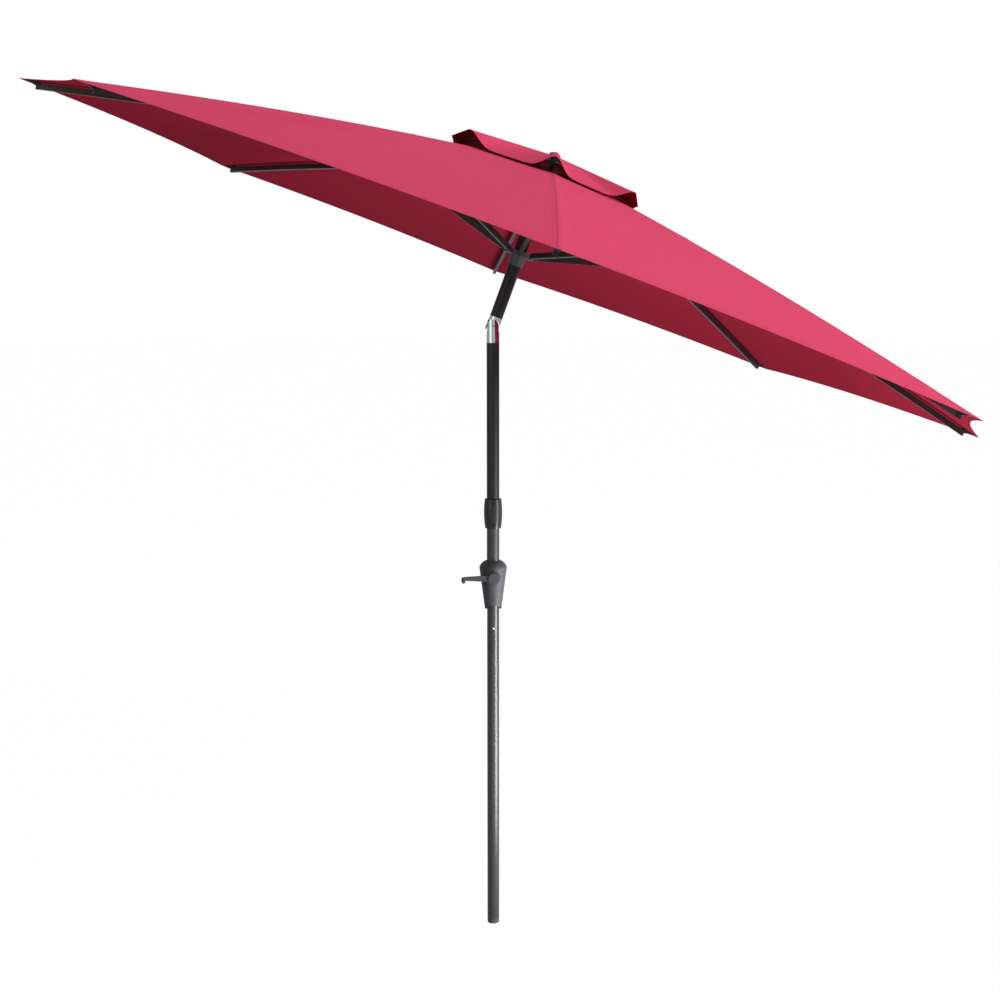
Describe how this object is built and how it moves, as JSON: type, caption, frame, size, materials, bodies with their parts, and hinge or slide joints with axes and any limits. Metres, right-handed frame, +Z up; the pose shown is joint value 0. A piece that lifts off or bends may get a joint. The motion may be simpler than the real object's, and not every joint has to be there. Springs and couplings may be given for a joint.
{
  "type": "patio umbrella",
  "caption": "Market umbrella on a straight crank pole, with an octagonal vented cloth canopy on hinged ribs and a push-button tilt knuckle; its lower pole end fits a separate base.",
  "frame": {"origin": "centre of the lower end of the pole", "axes": "+Z up the lower pole, +X the way the mast tilts, -Y the side of the crank"},
  "size_m": [2.9096, 3.1, 2.6381],
  "materials": {
    "canopy_cloth": "plain woven polyester, matte, raspberry red",
    "pole_grey": "dark grey satin powder coat",
    "pole_black": "near-black satin powder coat",
    "rib_paint": "near-black powder coat",
    "dark_plastic": "moulded charcoal plastic, satin",
    "black_plastic": "moulded black plastic",
    "polished_metal": "polished",
    "steel": "plated"
  },
  "bodies": {
    "pole": {"foot_plug": "dark_plastic", "lower_pole": "pole_grey", "pole_spigot": "steel", "snap_leaf": "steel", "crank_pole": "pole_grey", "middle_pole": "pole_black", "joining_sleeve": "steel", "pole_collar": "dark_plastic", "collar_screws": "steel", "housing_front": "dark_plastic", "housing_back": "dark_plastic", "housing_screws": "steel", "knuckle_lower": "polished_metal", "tilt_pin": "steel"},
    "snap_button": {"snap_button": "steel"},
    "crank": {"crank_shaft": "steel", "winding_drum": "dark_plastic", "crank_arm": "dark_plastic", "crank_screw": "steel"},
    "knob": {"crank_knob": "dark_plastic"},
    "mast": {"knuckle_upper": "polished_metal", "button_spring": "steel", "upper_pole": "pole_black", "crown_hub": "dark_plastic", "crown_pins": "steel", "pulley_pin": "steel", "vent_hub": "dark_plastic", "vent_stays": "rib_paint", "vent_canopy": "canopy_cloth", "finial": "dark_plastic"},
    "tilt_button": {"tilt_button": "black_plastic"},
    "pulley": {"lift_pulley": "dark_plastic"},
    "runner": {"runner_hub": "dark_plastic", "runner_pins": "steel"},
    "rib_1": {"rib_1": "rib_paint", "canopy_section_1": "canopy_cloth"},
    "rib_2": {"rib_2": "rib_paint", "canopy_section_2": "canopy_cloth"},
    "rib_3": {"rib_3": "rib_paint", "canopy_section_3": "canopy_cloth"},
    "rib_4": {"rib_4": "rib_paint", "canopy_section_4": "canopy_cloth"},
    "rib_5": {"rib_5": "rib_paint", "canopy_section_5": "canopy_cloth"},
    "rib_6": {"rib_6": "rib_paint", "canopy_section_6": "canopy_cloth"},
    "rib_7": {"rib_7": "rib_paint", "canopy_section_7": "canopy_cloth"},
    "rib_8": {"rib_8": "rib_paint", "canopy_section_8": "canopy_cloth"},
    "strut_1": {"strut_1": "rib_paint"},
    "strut_2": {"strut_2": "rib_paint"},
    "strut_3": {"strut_3": "rib_paint"},
    "strut_4": {"strut_4": "rib_paint"},
    "strut_5": {"strut_5": "rib_paint"},
    "strut_6": {"strut_6": "rib_paint"},
    "strut_7": {"strut_7": "rib_paint"},
    "strut_8": {"strut_8": "rib_paint"}
  },
  "joints": [
    {"name": "mast_tilt", "type": "hinge", "parent": "pole", "child": "mast", "pos_m": [0, 0, 1.918], "axis": [0, 1, 0], "range_deg": [-20.2, 10]},
    {"name": "snap_press", "type": "slide", "parent": "pole", "child": "snap_button", "axis": [0, 1, 0], "range_m": [0, 0.005], "stiffness_N_per_m": 1500, "springref_m": -0.002, "deforming": ["snap_leaf"]},
    {"name": "crank_turn", "type": "hinge", "parent": "pole", "child": "crank", "pos_m": [0, 0, 1.144], "axis": [0, 1, 0], "range_deg": [-645, 0]},
    {"name": "knob_spin", "type": "hinge", "parent": "crank", "child": "knob", "pos_m": [-0.094, 0, 1.144], "axis": [0, 1, 0], "continuous": true},
    {"name": "tilt_press", "type": "slide", "parent": "mast", "child": "tilt_button", "axis": [0.9385, 0, -0.3453], "range_m": [0, 0.0025], "stiffness_N_per_m": 1500, "springref_m": -0.002, "deforming": ["button_spring"]},
    {"name": "runner_slide", "type": "slide", "parent": "mast", "child": "runner", "axis": [0.3453, 0, 0.9385], "range_m": [-0.14, 0], "deforming": ["canopy_section_1", "canopy_section_2", "canopy_section_3", "canopy_section_4", "canopy_section_5", "canopy_section_6", "canopy_section_7", "canopy_section_8"]},
    {"name": "pulley_turn", "type": "hinge", "parent": "mast", "child": "pulley", "pos_m": [0.16639, 0, 2.37022], "axis": [0, 1, 0], "range_deg": [0, 1080]},
    {"name": "rib_hinge_1", "type": "hinge", "parent": "mast", "child": "rib_1", "pos_m": [0.20531, 0, 2.36016], "axis": [0, 1, 0], "range_deg": [0, 8.87]},
    {"name": "rib_hinge_2", "type": "hinge", "parent": "mast", "child": "rib_2", "pos_m": [0.19431, 0.02828, 2.36421], "axis": [-0.6636, 0.7071, 0.2442], "range_deg": [0, 8.87]},
    {"name": "rib_hinge_3", "type": "hinge", "parent": "mast", "child": "rib_3", "pos_m": [0.16777, 0.04, 2.37397], "axis": [-0.9385, 0, 0.3453], "range_deg": [0, 8.87]},
    {"name": "rib_hinge_4", "type": "hinge", "parent": "mast", "child": "rib_4", "pos_m": [0.14122, 0.02828, 2.38374], "axis": [-0.6636, -0.7071, 0.2442], "range_deg": [0, 8.87]},
    {"name": "rib_hinge_5", "type": "hinge", "parent": "mast", "child": "rib_5", "pos_m": [0.13023, 0, 2.38779], "axis": [0, -1, 0], "range_deg": [0, 8.87]},
    {"name": "rib_hinge_6", "type": "hinge", "parent": "mast", "child": "rib_6", "pos_m": [0.14122, -0.02828, 2.38374], "axis": [0.6636, -0.7071, -0.2442], "range_deg": [0, 8.87]},
    {"name": "rib_hinge_7", "type": "hinge", "parent": "mast", "child": "rib_7", "pos_m": [0.16777, -0.04, 2.37397], "axis": [0.9385, 0, -0.3453], "range_deg": [0, 8.87]},
    {"name": "rib_hinge_8", "type": "hinge", "parent": "mast", "child": "rib_8", "pos_m": [0.19431, -0.02828, 2.36421], "axis": [0.6636, 0.7071, -0.2442], "range_deg": [0, 8.87]},
    {"name": "strut_hinge_1", "type": "hinge", "parent": "runner", "child": "strut_1", "pos_m": [0.1173, 0, 2.12098], "axis": [0, 1, 0], "range_deg": [-7.24, 0]},
    {"name": "strut_hinge_2", "type": "hinge", "parent": "runner", "child": "strut_2", "pos_m": [0.10631, 0.02828, 2.12502], "axis": [-0.6636, 0.7071, 0.2442], "range_deg": [-7.24, 0]},
    {"name": "strut_hinge_3", "type": "hinge", "parent": "runner", "child": "strut_3", "pos_m": [0.07976, 0.04, 2.13479], "axis": [-0.9385, 0, 0.3453], "range_deg": [-7.24, 0]},
    {"name": "strut_hinge_4", "type": "hinge", "parent": "runner", "child": "strut_4", "pos_m": [0.05322, 0.02828, 2.14456], "axis": [-0.6636, -0.7071, 0.2442], "range_deg": [-7.24, 0]},
    {"name": "strut_hinge_5", "type": "hinge", "parent": "runner", "child": "strut_5", "pos_m": [0.04222, 0, 2.1486], "axis": [0, -1, 0], "range_deg": [-7.24, 0]},
    {"name": "strut_hinge_6", "type": "hinge", "parent": "runner", "child": "strut_6", "pos_m": [0.05322, -0.02828, 2.14456], "axis": [0.6636, -0.7071, -0.2442], "range_deg": [-7.24, 0]},
    {"name": "strut_hinge_7", "type": "hinge", "parent": "runner", "child": "strut_7", "pos_m": [0.07976, -0.04, 2.13479], "axis": [0.9385, 0, -0.3453], "range_deg": [-7.24, 0]},
    {"name": "strut_hinge_8", "type": "hinge", "parent": "runner", "child": "strut_8", "pos_m": [0.10631, -0.02828, 2.12502], "axis": [0.6636, 0.7071, -0.2442], "range_deg": [-7.24, 0]}
  ],
  "couplings": [
    {"joint": "crank_turn", "follows": "runner_slide", "rad_per_m": 80},
    {"joint": "pulley_turn", "follows": "runner_slide", "rad_per_m": -133.33},
    {"joint": "rib_hinge_1", "follows": "runner_slide", "rad_per_m": -1.1028},
    {"joint": "rib_hinge_2", "follows": "runner_slide", "rad_per_m": -1.1028},
    {"joint": "rib_hinge_3", "follows": "runner_slide", "rad_per_m": -1.1028},
    {"joint": "rib_hinge_4", "follows": "runner_slide", "rad_per_m": -1.1028},
    {"joint": "rib_hinge_5", "follows": "runner_slide", "rad_per_m": -1.1028},
    {"joint": "rib_hinge_6", "follows": "runner_slide", "rad_per_m": -1.1028},
    {"joint": "rib_hinge_7", "follows": "runner_slide", "rad_per_m": -1.1028},
    {"joint": "rib_hinge_8", "follows": "runner_slide", "rad_per_m": -1.1028},
    {"joint": "strut_hinge_1", "follows": "runner_slide", "rad_per_m": 0.8996},
    {"joint": "strut_hinge_2", "follows": "runner_slide", "rad_per_m": 0.8996},
    {"joint": "strut_hinge_3", "follows": "runner_slide", "rad_per_m": 0.8996},
    {"joint": "strut_hinge_4", "follows": "runner_slide", "rad_per_m": 0.8996},
    {"joint": "strut_hinge_5", "follows": "runner_slide", "rad_per_m": 0.8996},
    {"joint": "strut_hinge_6", "follows": "runner_slide", "rad_per_m": 0.8996},
    {"joint": "strut_hinge_7", "follows": "runner_slide", "rad_per_m": 0.8996},
    {"joint": "strut_hinge_8", "follows": "runner_slide", "rad_per_m": 0.8996}
  ]
}
